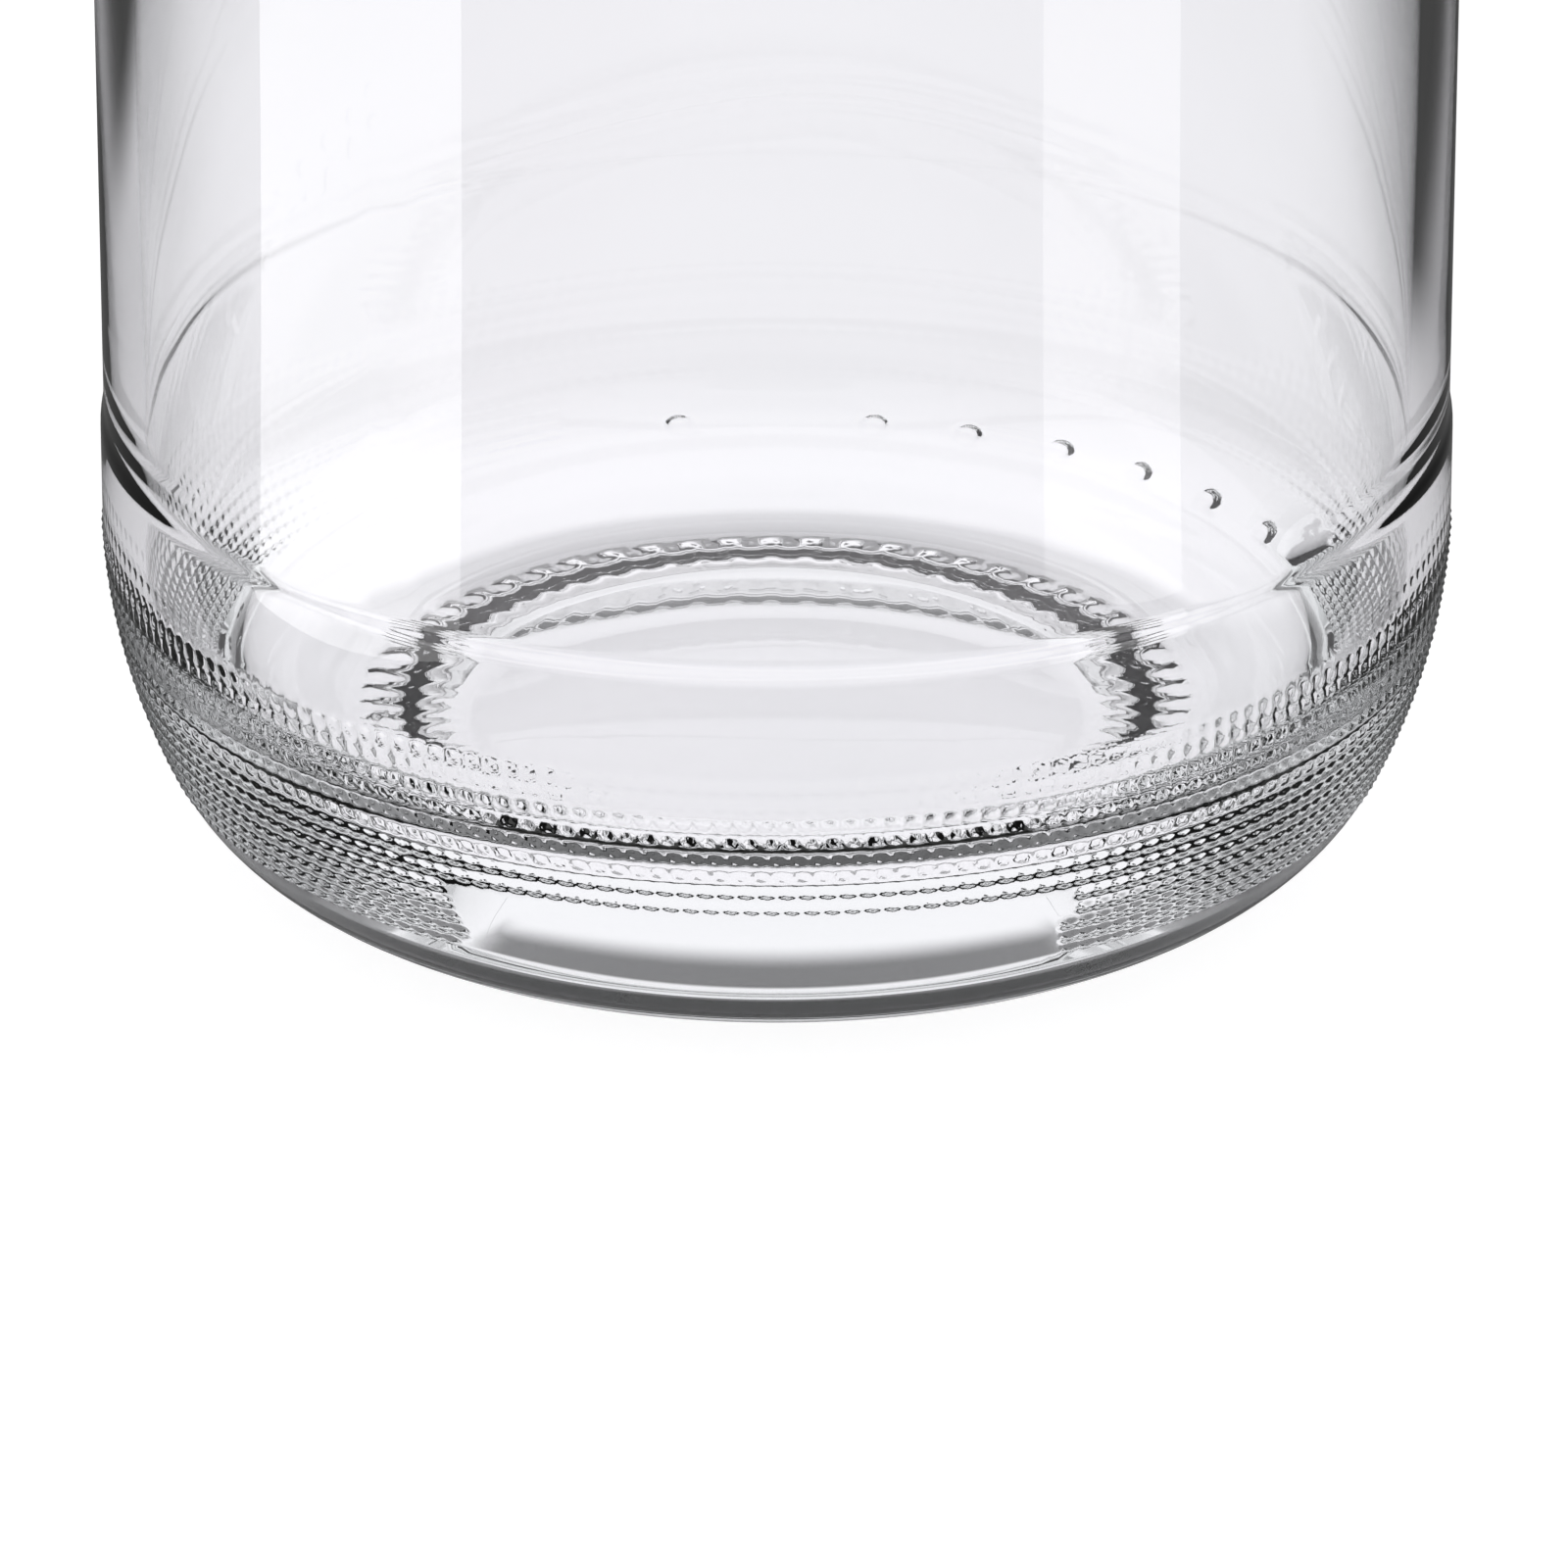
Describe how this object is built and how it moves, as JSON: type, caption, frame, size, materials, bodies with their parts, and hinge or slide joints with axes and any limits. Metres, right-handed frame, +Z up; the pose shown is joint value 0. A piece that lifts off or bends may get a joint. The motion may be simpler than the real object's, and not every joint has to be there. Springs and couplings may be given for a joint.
{
  "type": "glass milk bottle",
  "caption": "Clear glass milk bottle with a stippled heel, recessed label panel, sloping shoulder and wide mouth, closed by a twist-off metal lug lid with a sealing ring.",
  "frame": {"origin": "centre of the base, in the plane of the bearing ring that the bottle stands on", "axes": "+Z up along the bottle's axis, towards the lid; the glass ramps are centred on +X, +Y, -X and -Y"},
  "size_m": [0.088, 0.088, 0.2615],
  "materials": {
    "bottle_glass": "clear pressed-and-blown glass, faintly green where it is thick",
    "lid_tinplate": "clear-lacquered tinplate, satin, lightly scuffed at the rolled edge",
    "gasket_compound": "soft pale sealing compound, matt"
  },
  "bodies": {
    "bottle": {"glass_bottle": "bottle_glass"},
    "gasket": {"lid_gasket": "gasket_compound"},
    "lid": {"lid_shell": "lid_tinplate"}
  },
  "joints": [
    {"name": "gasket_rise", "type": "slide", "parent": "bottle", "child": "gasket", "axis": [0, 0, 1], "range_m": [0, 0.014]},
    {"name": "lid_turn", "type": "hinge", "parent": "gasket", "child": "lid", "pos_m": [0, 0, 0.2598], "axis": [0, 0, 1], "range_deg": [0, 360]}
  ],
  "couplings": [
    {"joint": "gasket_rise", "follows": "lid_turn", "m_per_rad": 0.0022282}
  ]
}
